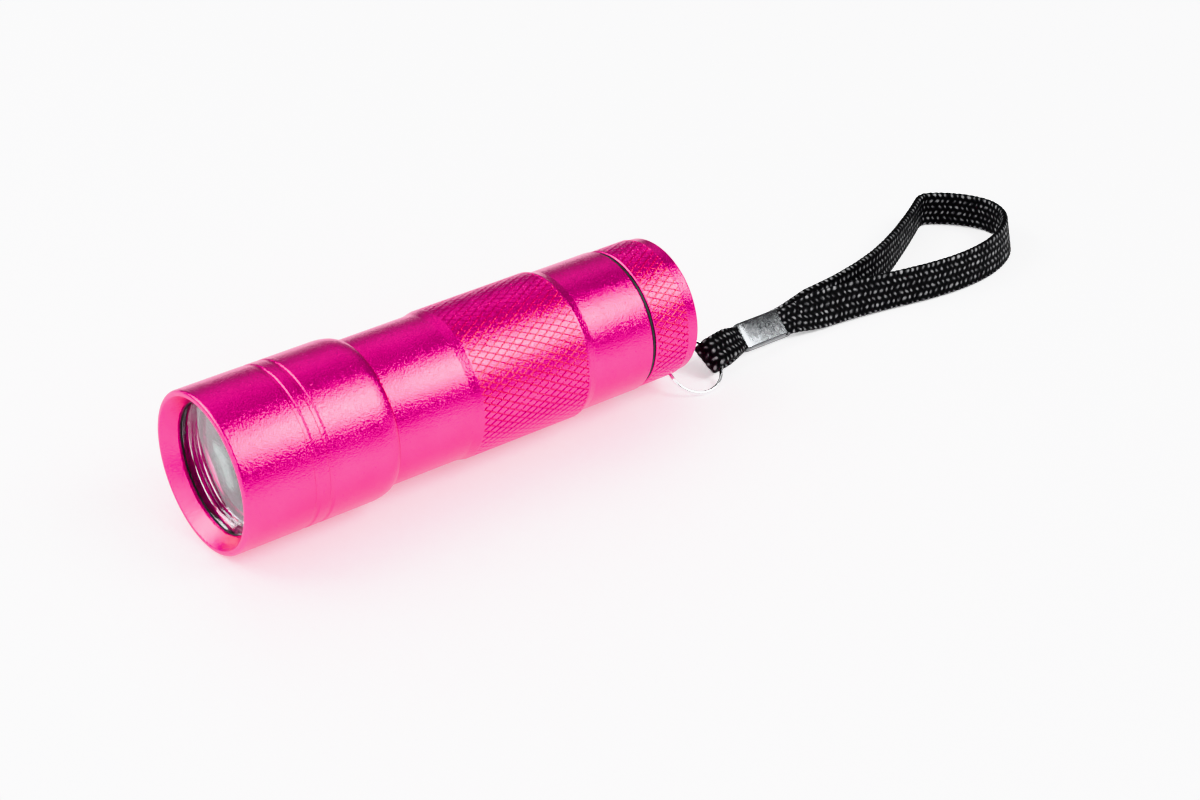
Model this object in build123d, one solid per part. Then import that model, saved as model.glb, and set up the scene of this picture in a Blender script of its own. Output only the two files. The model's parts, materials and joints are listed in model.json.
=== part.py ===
from build123d import *
import os
from math import cos, radians, sin, sqrt, tan

# A pocket UV curing lamp: a turned aluminium torch on three AAA cells, with a lanyard.
# Millimetres. The lamp lies on its side with +X from the light to the tail and +Z up.
# Pieces are drawn on the lamp's own axis, with x = 0 at the front rim, and moved at the end
# so that the origin is under the middle of the lamp, on the surface that it lies on.

# ---- driving dimensions ----
FIT = 0.05                   # radial gap of a fit that turns or slides
GAP = 0.3                    # gap between pieces that only pass each other
PITCH = 1.0                  # both screw threads
THREAD_DEPTH = 0.3

HEAD_LENGTH = 29.4
HEAD_RISE = 1.15             # head's parallel part above its rear edge
HEAD_STEP = 0.12             # edge of the head above the front waist
HEAD_ROUND_LENGTH = 3.6      # rounding behind the head's parallel part
RIM_LIP = 0.35               # narrow crest between the rim's rounding and the bevel
RIM_ROUND = 0.6
BEVEL_DEPTH = 2.4
WINDOW_DEPTH = 0.5
WINDOW_SEAT = 0.8            # width of the step that the gasket seats on
GROOVE_AT = 13.2             # first of two fine grooves round the head
GROOVE_STEP = 2.7
GROOVE_WIDTH = 0.9
GROOVE_DEPTH = 0.16

LENS_T = 1.2
LENS_WALL = 0.35             # reflector's wall round the lens
LENS_LEDGE = 0.45            # width of the ledge that the lens rests on
GASKET_T = 0.4
REFLECTOR_LENGTH = 11.3
REFLECTOR_WALL = 0.5
CUP_PLATE_AT = 1.6           # cup plate's face behind the lens
CUP_PLATE_T = 1.6
LED_R = 2.5
LED_FLANGE = 0.3             # flange beyond the LED's side
LED_FLANGE_T = 1.0
LED_HEIGHT = 8.6
LED_STAND_OFF = 0.3
OUTER_LEDS = 9
INNER_LEDS = 3
LED_GAP = 0.03               # from an LED's flange to the reflector's skirt
LEAD_R = 0.28
LEAD_SPACING = 2.54
BOARD_T = 1.6
BOARD_RING_T = 1.7
BOARD_RING_WALL = 2.6
BOSS_R = 2.4
FLANGE_R = 3.4

TUBE_WALL = 1.33
TUBE_LIP = 1.0               # height of the lip that stops the battery cartridge
TUBE_LIP_T = 1.2
NECK_LENGTH = 10.4           # part of the tube inside the head
NECK_THREAD_LENGTH = 6.0
NECK_STEP = 0.33             # from the front waist down to the neck
FRONT_WAIST_LENGTH = 14.6
GRIP_RISE = 0.37
GRIP_LENGTH = 22.0
GRIP_STEP = 1.6              # sloped step at each end of the grip
REAR_WAIST_DROP = 0.15
SEAL_T = 0.7                 # O-ring seen as a dark line in front of the tail cap
NECK_SEAL_T = 1.0
NECK_SEAL_DEPTH = 0.4

CELL_R = 5.15
CELL_GAP = 0.03              # from each cell to the plane between two cells
CELL_CLEAR = 0.27            # from the cells to the tube's bore
CELL_LENGTH = 43.7
NUB_R = 1.9
NUB_LENGTH = 0.8
END_PLATE_CLEAR = 0.25
END_PLATE_T = 2.0
RAIL_R = 1.5
RAIL_EDGE = 0.15             # from a rail to the end plate's edge
CONTACT_T = 0.4
CELL_SPRING_LENGTH = 2.6
WIRE_R = 0.3

CAP_DROP = 0.17              # from the rear waist down to the cap's knurl
CAP_BAND_DROP = 0.31         # and from there to the plain band behind it
CAP_BAND_LENGTH = 2.3
CAP_LENGTH = 9.5             # from its shoulder to the rear rim
CAP_NECK_LENGTH = 6.5
CAP_NECK_STEP = 0.3          # thread crest above the tube's bore
CAP_NECK_WALL = 1.0
CAP_RIM_WALL = 1.85
CAP_RECESS_DEPTH = 4.9
CAP_WEB_T = 1.6
MODULE_LENGTH = 7.9
PLUNGER_R = 2.0
COLLAR = 1.4                 # collar beyond the plunger's side
COLLAR_T = 1.2
BUTTON_R = 6.0
BUTTON_FLANGE = 1.3          # flange beyond the button's side
BUTTON_FLANGE_T = 0.9
BUTTON_HEIGHT = 3.9          # dome above the web's front face
BUTTON_TRAVEL = 1.8
NUT_T = 1.3
TAIL_SPRING_R = 3.0
TAIL_SPRING_LENGTH = 4.2

HOLE_R = 1.25                # lanyard hole in the tail cap's rim
HOLE_FROM_REAR = 1.9
HOLE_ANGLE = -122.0          # round the cap, from +Y
RING_R = 5.2                 # middle of the lanyard ring's wire
RING_WIRE_R = 0.35
RING_TILT = 36.0
RING_LEAN = -18.0            # where along the ring the hole is
TAB_WIDTH = 5.8
TAB_T = 1.5
TAB_FOLD_R = 1.55
POCKET_R = 1.0               # inside the fold, round the ring's wire
CLIP_LENGTH = 11.4
CLIP_WIDTH = 5.4
CLIP_T = 2.1
CLIP_SHEET = 0.4
CLIP_YAW = 5.0
CLIP_PITCH = -4.0
CLIP_ROLL = 40.0
CLIP_FROM_REAR = 21.2        # middle of the clip behind the rear rim
CLIP_Y = -3.9
CLIP_HEIGHT = 3.1

STRAP_WIDTH = 6.8
STRAP_T = 1.1
STRAP_CLEAR = 0.1            # under the band
STRAP_ROUTE = [
    (71.0, -4.10), (80.2, -4.80), (88.9, -6.05), (97.1, -7.85), (105.2, -9.45), (113.0, -9.90),
    (119.8, -8.95), (125.9, -6.20), (129.9, -1.80), (130.6, 3.60), (128.1, 8.20), (125.3, 11.10),
    (121.9, 12.50), (118.4, 11.60), (113.0, 8.10), (106.0, 4.10), (99.1, 0.80), (90.8, -1.60),
    (82.0, -2.75), (71.0, -2.55),
]

# ---- radii, worked out from the cells outwards ----
CELL_CIRCLE = (CELL_R + CELL_GAP) * 2 / sqrt(3)
TUBE_BORE_R = CELL_CIRCLE + CELL_R + CELL_CLEAR
TUBE_LIP_R = TUBE_BORE_R - TUBE_LIP
END_PLATE_R = TUBE_BORE_R - END_PLATE_CLEAR
RAIL_CIRCLE = END_PLATE_R - RAIL_R - RAIL_EDGE
FRONT_WAIST_R = TUBE_BORE_R + TUBE_WALL
GRIP_R = FRONT_WAIST_R + GRIP_RISE
REAR_WAIST_R = FRONT_WAIST_R - REAR_WAIST_DROP
NECK_R = FRONT_WAIST_R - NECK_STEP
HEAD_BORE_R = NECK_R + FIT
HEAD_REAR_R = FRONT_WAIST_R + HEAD_STEP
HEAD_R = HEAD_REAR_R + HEAD_RISE
OPTICS_R = NECK_R - THREAD_DEPTH
WINDOW_R = OPTICS_R - WINDOW_SEAT
LENS_SEAT_R = OPTICS_R - FIT - LENS_WALL
LED_FLANGE_R = LED_R + LED_FLANGE
COLLAR_R = PLUNGER_R + COLLAR
BUTTON_FLANGE_R = BUTTON_R + BUTTON_FLANGE
CAP_R = REAR_WAIST_R - CAP_DROP
CAP_BAND_R = CAP_R - CAP_BAND_DROP
CAP_RECESS_R = CAP_BAND_R - CAP_RIM_WALL
CAP_NECK_R = TUBE_BORE_R + CAP_NECK_STEP
CAP_BORE_R = CAP_NECK_R - CAP_NECK_WALL
CAP_THREAD_BORE_R = CAP_NECK_R + 2 * FIT
OUTER_LED_CIRCLE = OPTICS_R - FIT - REFLECTOR_WALL - LED_FLANGE_R - LED_GAP
INNER_LED_CIRCLE = (LED_FLANGE_R + LED_GAP) * 2 / sqrt(3)

# ---- places along the axis, worked out from the sizes ----
BARREL_FRONT = HEAD_LENGTH - NECK_LENGTH
GASKET_AT = BEVEL_DEPTH + WINDOW_DEPTH
REFLECTOR_AT = GASKET_AT + GASKET_T
LENS_END = REFLECTOR_AT + LENS_T
BOARD_AT = REFLECTOR_AT + REFLECTOR_LENGTH
BOARD_RING_AT = BOARD_AT + BOARD_T
GRIP_AT = HEAD_LENGTH + FRONT_WAIST_LENGTH
CARTRIDGE_AT = BARREL_FRONT + TUBE_LIP_T + 0.1
CELLS_AT = CARTRIDGE_AT + END_PLATE_T + 2 * CONTACT_T
CELLS_END = CELLS_AT + CELL_LENGTH + NUB_LENGTH + CELL_SPRING_LENGTH
CARTRIDGE_END = CELLS_END + END_PLATE_T + 2 * CONTACT_T
MODULE_AT = CARTRIDGE_END + TAIL_SPRING_LENGTH
CAP_WEB_AT = MODULE_AT + MODULE_LENGTH
LENGTH = CAP_WEB_AT + CAP_WEB_T + CAP_RECESS_DEPTH
CAP_AT = LENGTH - CAP_LENGTH
TUBE_END = CAP_AT - SEAL_T - 0.1
CAP_NECK_AT = CAP_AT - CAP_NECK_LENGTH


def turned(*outline):
    """A turned piece, from an outline of (distance from the front, radius) points."""
    return revolve(make_face(Polyline(*outline, close=True)), Axis.X)


def washer(start, length, inner, outer):
    return turned((start, inner), (start + length, inner), (start + length, outer), (start, outer))


def rod(start, length, radius, y=0.0, z=0.0):
    seat = Plane(origin=(start, y, z), x_dir=(0, 1, 0), z_dir=(1, 0, 0))
    return seat * Cylinder(radius, length, align=(Align.CENTER, Align.CENTER, Align.MIN))


def around(count, circle, start_angle=0.0):
    """(y, z) places spaced evenly round the axis."""
    angles = [radians(start_angle + 360 * i / count) for i in range(count)]
    return [(circle * cos(a), circle * sin(a)) for a in angles]


def led_places():
    outer = around(OUTER_LEDS, OUTER_LED_CIRCLE, 90)
    inner = around(INNER_LEDS, INNER_LED_CIRCLE, 90 + 180 / OUTER_LEDS)
    return outer + inner


def ridges(start, length, root, crest):
    """Outline points of thread ridges, one for each pitch."""
    points = []
    for i in range(int(length / PITCH)):
        x = start + i * PITCH
        points += [(x, root), (x + 0.35 * PITCH, crest), (x + 0.55 * PITCH, crest), (x + 0.9 * PITCH, root)]
    return points


def coil(start, length, radius, turns, y=0.0, z=0.0):
    """A compression spring, drawn inside its given length."""
    height = length - 2 * WIRE_R - 0.1
    base = start + WIRE_R + 0.05
    path = Helix(height / turns, height, radius, center=(base, y, z), direction=(1, 0, 0))
    section = Plane(origin=path @ 0, z_dir=path % 0) * Circle(WIRE_R)
    return sweep(section, path, is_frenet=True)


# ---- head ----
def head():
    straight_end = HEAD_LENGTH - HEAD_ROUND_LENGTH
    crest = HEAD_R - RIM_ROUND - RIM_LIP
    shoulder = RadiusArc((HEAD_LENGTH, HEAD_REAR_R), (straight_end, HEAD_R), -6.2)
    outside = Polyline((straight_end, HEAD_R), (RIM_ROUND, HEAD_R))
    rounding = RadiusArc((RIM_ROUND, HEAD_R), (0, HEAD_R - RIM_ROUND), -RIM_ROUND)
    inside = Polyline(
        (0, HEAD_R - RIM_ROUND), (0, crest), (BEVEL_DEPTH, WINDOW_R), (GASKET_AT, WINDOW_R),
        (GASKET_AT, OPTICS_R), (BOARD_RING_AT + BOARD_RING_T + 0.2, OPTICS_R),
        (BOARD_RING_AT + BOARD_RING_T + 0.2, HEAD_BORE_R), (HEAD_LENGTH, HEAD_BORE_R),
        (HEAD_LENGTH, HEAD_REAR_R),
    )
    shell = revolve(make_face([shoulder, outside, rounding, inside]), Axis.X)
    for i in range(2):
        start = GROOVE_AT + i * GROOVE_STEP - GROOVE_WIDTH / 2
        shell -= washer(start, GROOVE_WIDTH, HEAD_R - GROOVE_DEPTH, HEAD_R + 1)
    return shell


def lens():
    return chamfer(rod(REFLECTOR_AT, LENS_T, LENS_SEAT_R - FIT).edges(), 0.2)


def reflector():
    """Cup plate inside a skirt, whose front edge holds the lens on a ledge."""
    outer = OPTICS_R - FIT
    plate_at = LENS_END + CUP_PLATE_AT
    body = washer(REFLECTOR_AT, REFLECTOR_LENGTH, outer - REFLECTOR_WALL, outer)
    body += washer(LENS_END, CUP_PLATE_AT + 0.2, LENS_SEAT_R - LENS_LEDGE, outer - REFLECTOR_WALL / 2)
    body -= rod(REFLECTOR_AT - 1, LENS_T + 1, LENS_SEAT_R)
    body += rod(plate_at, CUP_PLATE_T, outer - REFLECTOR_WALL / 2)
    clear = LED_R + 0.1
    for y, z in led_places():
        cup = turned((plate_at - 0.5, 0), (plate_at + CUP_PLATE_T + 0.5, 0),
                     (plate_at + CUP_PLATE_T + 0.5, clear), (plate_at + 0.8, clear),
                     (plate_at - 0.5, clear + 0.35))
        body -= Pos(0, y, z) * cup
    return body


def uv_leds():
    flange_at = BOARD_AT - LED_STAND_OFF - LED_FLANGE_T
    tip = BOARD_AT - LED_STAND_OFF - LED_HEIGHT
    body = rod(tip + LED_R, LED_HEIGHT - LED_R, LED_R) + Pos(tip + LED_R, 0, 0) * Sphere(LED_R)
    body += rod(flange_at, LED_FLANGE_T, LED_FLANGE_R)
    return [Pos(0, y, z) * body for y, z in led_places()]


def led_leads():
    length = LED_STAND_OFF + BOARD_T - 0.05
    half = LEAD_SPACING / 2
    start = BOARD_AT - LED_STAND_OFF
    return [rod(start, length, LEAD_R, y + side * half, z) for y, z in led_places() for side in (-1, 1)]


def led_board():
    board = rod(BOARD_AT, BOARD_T, OPTICS_R - FIT)
    for lead in led_leads():
        place = lead.center()
        board -= rod(BOARD_AT - 1, BOARD_T + 2, LEAD_R + 0.02, place.Y, place.Z)
    return board


def board_retaining_ring():
    outer = OPTICS_R - FIT
    ring = washer(BOARD_RING_AT, BOARD_RING_T, outer - BOARD_RING_WALL, outer)
    for y, z in around(2, outer - BOARD_RING_WALL / 2, 0):
        ring -= rod(BOARD_RING_AT + 0.6, BOARD_RING_T, 0.8, y, z)
    return ring


def board_contact():
    reach = CARTRIDGE_AT - BOARD_RING_AT - 0.05
    return turned((BOARD_RING_AT, 0), (BOARD_RING_AT, FLANGE_R), (BOARD_RING_AT + 0.6, FLANGE_R),
                  (BOARD_RING_AT + 0.6, BOSS_R), (BOARD_RING_AT + reach - 0.3, BOSS_R),
                  (BOARD_RING_AT + reach, BOSS_R - 0.4), (BOARD_RING_AT + reach, 0))


# ---- barrel ----
def body_tube():
    seal_at = HEAD_LENGTH - 0.8 - NECK_SEAL_T
    grip_end = GRIP_AT + 2 * GRIP_STEP + GRIP_LENGTH
    thread = ridges(BARREL_FRONT + 0.8, NECK_THREAD_LENGTH, NECK_R - THREAD_DEPTH, NECK_R)
    outline = [(BARREL_FRONT, TUBE_LIP_R), (BARREL_FRONT, NECK_R - THREAD_DEPTH)] + thread
    outline += [
        (seal_at - 0.6, NECK_R - THREAD_DEPTH), (seal_at - 0.6, NECK_R), (seal_at, NECK_R),
        (seal_at, NECK_R - NECK_SEAL_DEPTH), (seal_at + NECK_SEAL_T, NECK_R - NECK_SEAL_DEPTH),
        (seal_at + NECK_SEAL_T, NECK_R), (HEAD_LENGTH + 0.05, NECK_R),
        (HEAD_LENGTH + 0.05, FRONT_WAIST_R), (GRIP_AT, FRONT_WAIST_R), (GRIP_AT + GRIP_STEP, GRIP_R),
        (GRIP_AT + GRIP_STEP + GRIP_LENGTH, GRIP_R), (grip_end, REAR_WAIST_R),
        (TUBE_END - 0.2, REAR_WAIST_R), (TUBE_END, REAR_WAIST_R - 0.2),
        (TUBE_END, CAP_THREAD_BORE_R), (CAP_NECK_AT - 0.4, CAP_THREAD_BORE_R),
        (CAP_NECK_AT - 0.4, TUBE_BORE_R), (BARREL_FRONT + TUBE_LIP_T, TUBE_BORE_R),
        (BARREL_FRONT + TUBE_LIP_T, TUBE_LIP_R),
    ]
    return turned(*outline)


def neck_seal():
    start = HEAD_LENGTH - 0.8 - NECK_SEAL_T
    return washer(start + 0.02, NECK_SEAL_T - 0.04, NECK_R - NECK_SEAL_DEPTH + 0.02, NECK_R - 0.02)


def tail_seal():
    start, end, outer = TUBE_END + 0.05, TUBE_END + 0.05 + SEAL_T, REAR_WAIST_R - 0.3
    return turned((start, CAP_NECK_R + FIT), (end, CAP_NECK_R + FIT), (end, outer - 0.15),
                  (end - 0.15, outer), (start + 0.15, outer), (start, outer - 0.15))


def cell(angle, reversed_cell):
    y, z = CELL_CIRCLE * cos(radians(angle)), CELL_CIRCLE * sin(radians(angle))
    can = chamfer(rod(0, CELL_LENGTH, CELL_R).edges(), 0.35)
    shape = can + rod(-NUB_LENGTH, NUB_LENGTH + 0.5, NUB_R)
    if reversed_cell:
        shape = Pos(CELLS_END - NUB_LENGTH - CELL_LENGTH, 0, 0) * mirror_along(shape)
    else:
        shape = Pos(CELLS_AT + NUB_LENGTH, 0, 0) * shape
    return Pos(0, y, z) * shape


def mirror_along(shape):
    """The same cell the other way round, in the same place."""
    return Pos(CELL_LENGTH, 0, 0) * Rot(0, 0, 180) * shape


def cell_springs():
    springs = []
    for i, angle in enumerate((90, 210, 330)):
        y, z = CELL_CIRCLE * cos(radians(angle)), CELL_CIRCLE * sin(radians(angle))
        at = CELLS_AT if i == 1 else CELLS_END - CELL_SPRING_LENGTH
        springs.append(coil(at, CELL_SPRING_LENGTH, 2.3, 2.5, y, z))
    return springs


def end_plate(start):
    plate = chamfer(rod(start, END_PLATE_T, END_PLATE_R).edges(), 0.25)
    for y, z in around(3, RAIL_CIRCLE, 30):
        plate -= rod(start - 1, END_PLATE_T + 2, RAIL_R + 0.02, y, z)
    return plate - rod(start - 1, END_PLATE_T + 2, 1.2)


def cartridge_rails():
    length = CARTRIDGE_END - CARTRIDGE_AT
    return [rod(CARTRIDGE_AT, length, RAIL_R, y, z) for y, z in around(3, RAIL_CIRCLE, 30)]


def cell_contacts(start):
    """Sprung contact sheet on an end plate, clear of the rails."""
    sheet = rod(start, CONTACT_T, END_PLATE_R - 0.9)
    for y, z in around(3, RAIL_CIRCLE, 30):
        sheet -= rod(start - 1, CONTACT_T + 2, RAIL_R + 0.3, y, z)
    return sheet


def cartridge_contact(start, length):
    return rod(start, length, FLANGE_R)


# ---- tail ----
def tail_cap():
    band_at = LENGTH - CAP_BAND_LENGTH
    thread = ridges(CAP_NECK_AT + 0.4, CAP_NECK_LENGTH - 1.6, CAP_NECK_R - THREAD_DEPTH, CAP_NECK_R)
    outline = [(CAP_NECK_AT, CAP_BORE_R), (CAP_NECK_AT, CAP_NECK_R - THREAD_DEPTH)] + thread
    outline += [
        (CAP_AT - 1.0, CAP_NECK_R - THREAD_DEPTH), (CAP_AT - 1.0, CAP_NECK_R), (CAP_AT, CAP_NECK_R),
        (CAP_AT, CAP_R - 0.2), (CAP_AT + 0.2, CAP_R), (band_at - 0.3, CAP_R), (band_at, CAP_BAND_R),
        (LENGTH - 0.35, CAP_BAND_R), (LENGTH, CAP_BAND_R - 0.35), (LENGTH, CAP_RECESS_R + 0.3),
        (LENGTH - 0.3, CAP_RECESS_R), (CAP_WEB_AT + CAP_WEB_T, CAP_RECESS_R),
        (CAP_WEB_AT + CAP_WEB_T, BUTTON_R + GAP), (CAP_WEB_AT, BUTTON_R + GAP),
        (CAP_WEB_AT, CAP_BORE_R),
    ]
    cap = turned(*outline)
    a = radians(HOLE_ANGLE)
    drill = Plane(origin=(LENGTH - HOLE_FROM_REAR, 0, 0), x_dir=(1, 0, 0), z_dir=(0, cos(a), sin(a)))
    bit = Cylinder(HOLE_R, CAP_RIM_WALL + 3.2, align=(Align.CENTER, Align.CENTER, Align.MIN))
    return cap - drill * Pos(0, 0, CAP_RECESS_R - 2) * bit


def switch_module():
    """Plastic switch body: a spring chamber in front, a pocket for the button behind."""
    outer = CAP_BORE_R - FIT
    pocket_at = CAP_WEB_AT - BUTTON_FLANGE_T - BUTTON_TRAVEL - 0.2
    chamber_end = pocket_at - 0.6
    return turned(
        (MODULE_AT, 0), (MODULE_AT, outer), (CAP_WEB_AT - 0.02, outer),
        (CAP_WEB_AT - 0.02, BUTTON_FLANGE_R + GAP),
        (pocket_at, BUTTON_FLANGE_R + GAP), (pocket_at, PLUNGER_R + FIT),
        (chamber_end, PLUNGER_R + FIT), (chamber_end, COLLAR_R + 0.2),
        (MODULE_AT + 0.9, COLLAR_R + 0.2), (MODULE_AT + 0.9, 0),
    )


def switch_plunger():
    flange_front = CAP_WEB_AT - BUTTON_FLANGE_T - 0.1
    collar_end = CAP_WEB_AT - BUTTON_FLANGE_T - BUTTON_TRAVEL - 0.85
    collar_at = collar_end - COLLAR_T
    return turned((collar_at, 0), (collar_at, COLLAR_R), (collar_end, COLLAR_R),
                  (collar_end, PLUNGER_R), (flange_front, PLUNGER_R), (flange_front, 0))


def button():
    """Domed rubber button with a flange held behind the cap's web."""
    flange_at = CAP_WEB_AT - BUTTON_FLANGE_T - 0.05
    top = CAP_WEB_AT + BUTTON_HEIGHT
    dome = RadiusArc((top, 0), (top - 1.3, BUTTON_R - 0.4), -15.0)
    flange_end = flange_at + BUTTON_FLANGE_T
    sides = Polyline((top - 1.3, BUTTON_R - 0.4), (top - 1.9, BUTTON_R), (flange_end, BUTTON_R),
                     (flange_end, BUTTON_FLANGE_R), (flange_at, BUTTON_FLANGE_R), (flange_at, 0), (top, 0))
    return revolve(make_face([dome, sides]), Axis.X)


def retaining_nut():
    ring = washer(MODULE_AT - NUT_T - 0.02, NUT_T, TAIL_SPRING_R + 2.4, CAP_BORE_R - FIT)
    for y, z in around(2, CAP_BORE_R - 2, 0):
        ring -= rod(MODULE_AT - NUT_T - 1, 1.8, 0.8, y, z)
    return ring


def tail_spring():
    start = CARTRIDGE_END
    return coil(start, MODULE_AT - start, TAIL_SPRING_R, 3)


# ---- lanyard ----
def hole_centre():
    a = radians(HOLE_ANGLE)
    wall = (CAP_RECESS_R + CAP_BAND_R) / 2
    return Vector(LENGTH - HOLE_FROM_REAR, wall * cos(a), wall * sin(a))


def ring_plane():
    tilt, lean = radians(RING_TILT), radians(RING_LEAN)
    across = Vector(0, cos(tilt), sin(tilt))
    centre = hole_centre() + Vector(1, 0, 0) * RING_R * cos(lean) + across * RING_R * sin(lean)
    return Plane(origin=centre, x_dir=(1, 0, 0), z_dir=Vector(1, 0, 0).cross(across))


def lanyard_ring():
    return ring_plane() * Torus(RING_R, RING_WIRE_R)


def clip_plane():
    """Local x along the clip, y across its width towards the upper edge, z out of its face."""
    yaw, pitch, roll = radians(CLIP_YAW), radians(CLIP_PITCH), radians(CLIP_ROLL)
    along = Vector(cos(yaw) * cos(pitch), sin(yaw) * cos(pitch), sin(pitch))
    side = Vector(0, 0, 1).cross(along).normalized()
    up = along.cross(side)
    width = side * cos(roll) + up * sin(roll)
    middle = Vector(LENGTH + CLIP_FROM_REAR, CLIP_Y, CLIP_HEIGHT - HEAD_R)
    return Plane(origin=middle, x_dir=along, z_dir=along.cross(width))


def clip_block(width, thickness, radius):
    section = RectangleRounded(width, thickness, radius)
    return Plane(origin=(-CLIP_LENGTH / 2, 0, 0), x_dir=(0, 1, 0), z_dir=(1, 0, 0)) * section


def clip_start():
    return clip_plane().from_local_coords(Vector(-CLIP_LENGTH / 2, 0, 0))


def crimp_clip():
    outer = extrude(clip_block(CLIP_WIDTH, CLIP_T, 0.8), CLIP_LENGTH)
    inner = extrude(clip_block(CLIP_WIDTH - 2 * CLIP_SHEET, CLIP_T - 2 * CLIP_SHEET, 0.4), CLIP_LENGTH)
    seam = Pos(0, 0, -CLIP_T / 2) * Box(CLIP_LENGTH, 0.15, 2 * CLIP_SHEET)
    return clip_plane() * (outer - inner - seam)


def fold_wire():
    """Place and direction of the ring's wire where the clip pulls it, straight out from its middle."""
    ring = ring_plane()
    pull = ring.to_local_coords(clip_start())
    outward = (ring.x_dir * pull.X + ring.y_dir * pull.Y).normalized()
    curve = RING_R - sqrt(RING_R**2 - (TAB_WIDTH / 2) ** 2)
    return ring.origin + outward * (RING_R - curve / 2), ring.z_dir.cross(outward)


def tab_plane():
    """At the fold round the ring, with x towards the clip and y along the ring's wire."""
    fold, wire = fold_wire()
    along = clip_start() - fold
    return Plane(origin=fold, x_dir=along.normalized(), z_dir=along.cross(wire)), along.length


def strap_tab():
    """Webbing folded round the ring, with its two layers gripped inside the clip."""
    place, reach = tab_plane()
    profile = make_hull([
        CenterArc((0, 0), TAB_FOLD_R, 0, 360).edge(),
        Line((reach - 1.5, -TAB_T / 2), (reach - 1.5, TAB_T / 2)),
    ])
    side_on = Plane(origin=(0, TAB_WIDTH / 2, 0), x_dir=(1, 0, 0), z_dir=(0, -1, 0))
    fold = extrude(side_on * profile, TAB_WIDTH)
    pocket = Rot(90, 0, 0) * Cylinder(POCKET_R, TAB_WIDTH + 2)
    fold = place * (fold - pocket)
    core_width = CLIP_WIDTH - 2 * CLIP_SHEET - 0.04
    core_t = CLIP_T - 2 * CLIP_SHEET - 0.04
    core = extrude(clip_block(core_width, core_t, 0.38), CLIP_LENGTH)
    inward = (Align.MAX, Align.CENTER, Align.CENTER)
    bridge = Pos(-CLIP_LENGTH / 2, 0, 0) * Box(3.4, core_width, core_t, align=inward)
    return fold + clip_plane() * (core + bridge)


def strap_line():
    """Straight runs joined by arcs, each as large as its two runs allow."""
    points = [Vector(x, y, 0) for x, y in STRAP_ROUTE]
    radii = []
    for before, here, after in zip(points, points[1:], points[2:]):
        first, second = here - before, after - here
        turn = radians(first.get_angle(second))
        radii.append(0.45 * min(first.length, second.length) / tan(turn / 2))
    print("strap radii", [round(r, 1) for r in radii])
    return FilletPolyline(*points, radius=radii)


def wrist_strap():
    """Flat band standing on its edge, from the clip round and back to it."""
    line = strap_line()
    band = extrude(trace(line, STRAP_T), STRAP_WIDTH)
    volume = line.length * STRAP_T * STRAP_WIDTH
    print("strap length", round(line.length, 1), "volume share", round(band.volume / volume, 3))
    end = clip_plane()
    cut_at = end.from_local_coords(Vector(CLIP_LENGTH / 2, 0, 0))
    end = Plane(origin=cut_at, x_dir=end.x_dir, z_dir=end.z_dir)
    waste = end * Box(40, 40, 40, align=(Align.MAX, Align.CENTER, Align.CENTER))
    band = Pos(LENGTH / 2, 0, STRAP_CLEAR - HEAD_R) * band
    return band - waste


def parts():
    """Every node by name, on the lamp's own axis."""
    rear_plate_at = CELLS_END + CONTACT_T
    nodes = {
        "head_shell": head(),
        "lens": lens(),
        "lens_gasket": washer(GASKET_AT, GASKET_T, WINDOW_R, OPTICS_R - FIT),
        "reflector": reflector(),
        "uv_leds": uv_leds(),
        "led_leads": led_leads(),
        "led_board": led_board(),
        "board_retaining_ring": board_retaining_ring(),
        "board_contact": board_contact(),
        "body_tube": body_tube(),
        "neck_seal": neck_seal(),
        "tail_seal": tail_seal(),
        "cartridge_front_plate": end_plate(CARTRIDGE_AT + CONTACT_T),
        "cartridge_rear_plate": end_plate(rear_plate_at),
        "cartridge_rails": cartridge_rails(),
        "cartridge_front_contact": cartridge_contact(CARTRIDGE_AT, CONTACT_T),
        "cartridge_rear_contact": cartridge_contact(CARTRIDGE_END - CONTACT_T, CONTACT_T),
        "front_cell_contacts": cell_contacts(CARTRIDGE_AT + CONTACT_T + END_PLATE_T),
        "rear_cell_contacts": cell_contacts(CELLS_END),
        "cell_springs": cell_springs(),
        "tail_cap": tail_cap(),
        "switch_module": switch_module(),
        "switch_plunger": switch_plunger(),
        "button": button(),
        "retaining_nut": retaining_nut(),
        "tail_spring": tail_spring(),
        "lanyard_ring": lanyard_ring(),
        "crimp_clip": crimp_clip(),
        "strap_tab": strap_tab(),
        "wrist_strap": wrist_strap(),
    }
    for i, angle in enumerate((90, 210, 330)):
        nodes[f"cell_{i + 1}"] = cell(angle, i == 1)
    return nodes


def main():
    os.makedirs("parts", exist_ok=True)
    place = Pos(-LENGTH / 2, 0, HEAD_R)
    for name, shape in parts().items():
        if isinstance(shape, list):
            shape = Compound(children=[solid for piece in shape for solid in piece.solids()])
        export_step(place * shape, f"parts/{name}.step")


main()
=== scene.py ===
import json
from math import cos, pi, radians, sin, sqrt

import bmesh
import bpy
import numpy as np
from mathutils import Matrix, Vector


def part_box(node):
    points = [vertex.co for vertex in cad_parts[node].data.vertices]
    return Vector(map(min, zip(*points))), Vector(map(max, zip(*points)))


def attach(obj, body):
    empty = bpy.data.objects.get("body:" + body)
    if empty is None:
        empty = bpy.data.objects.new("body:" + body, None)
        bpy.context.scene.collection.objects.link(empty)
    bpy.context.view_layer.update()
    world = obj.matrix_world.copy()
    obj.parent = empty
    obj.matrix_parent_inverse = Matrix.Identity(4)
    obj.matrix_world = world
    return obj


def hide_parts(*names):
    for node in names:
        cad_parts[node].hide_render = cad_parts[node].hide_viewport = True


# The looks of a pocket UV curing lamp: a pink anodised torch with a knurled grip, a silvered
# light end, a rubber button, and a lanyard of braided webbing. Sizes in the outlines are
# millimetres along the lamp from its front rim, and millimetres out from its axis.

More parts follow.
